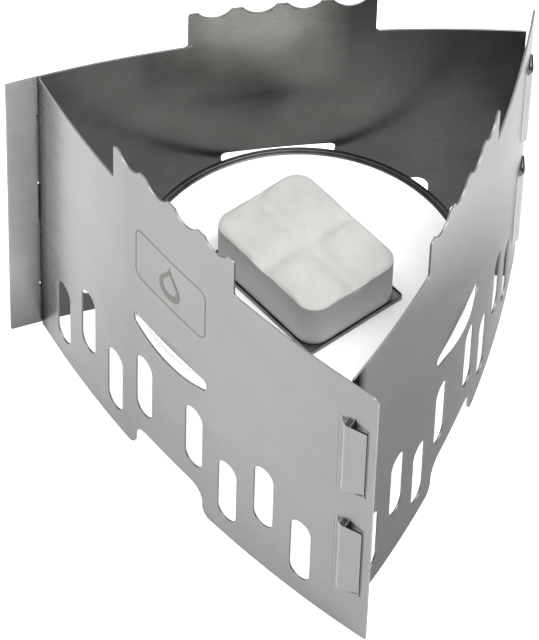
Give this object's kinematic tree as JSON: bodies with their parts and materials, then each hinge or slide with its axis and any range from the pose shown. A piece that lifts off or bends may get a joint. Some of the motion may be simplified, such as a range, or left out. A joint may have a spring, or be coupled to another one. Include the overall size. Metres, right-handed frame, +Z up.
{
  "type": "solid-fuel tablet stove",
  "caption": "Triangular sheet-steel tablet stove: bowed panels with vent slots and scalloped pot tabs hook together around a white round plate carrying a tray and fuel tablet.",
  "frame": {"origin": "bottom centre of the whole part's bounding box, on the ground plane", "axes": "+Z up, +Y towards the back panel, +X towards the right panel's far corner"},
  "size_m": [0.1226, 0.1108, 0.0952],
  "materials": {
    "panel_steel": "fine satin rolled stainless sheet, bright cut edges",
    "plate_enamel": "smooth white enamel with a darker rolled rim",
    "tray_steel": "darkened thin steel",
    "fuel": "pressed waxy white fuel, matte"
  },
  "bodies": {
    "front_left_panel": {"panel_front_left": "panel_steel", "round_plate": "plate_enamel"},
    "right_panel": {"panel_right": "panel_steel"},
    "back_panel": {"panel_back": "panel_steel"},
    "tray": {"fuel_tray": "tray_steel"},
    "tablet": {"fuel_tablet": "fuel"}
  },
  "joints": [
    {"name": "right_panel_hinge", "type": "hinge", "parent": "front_left_panel", "child": "right_panel", "pos_m": [0.00251, -0.04941, 0.042], "axis": [0, 0, -1], "range_deg": [0, 60]},
    {"name": "back_panel_hinge", "type": "hinge", "parent": "front_left_panel", "child": "back_panel", "pos_m": [-0.05366, 0.04788, 0.042], "axis": [0, 0, 1], "range_deg": [0, 60]},
    {"name": "tray_lift", "type": "slide", "parent": "front_left_panel", "child": "tray", "axis": [0, 0, 1], "range_m": [0, 0.06]},
    {"name": "tablet_lift", "type": "slide", "parent": "tray", "child": "tablet", "axis": [0, 0, 1], "range_m": [0, 0.05]}
  ]
}
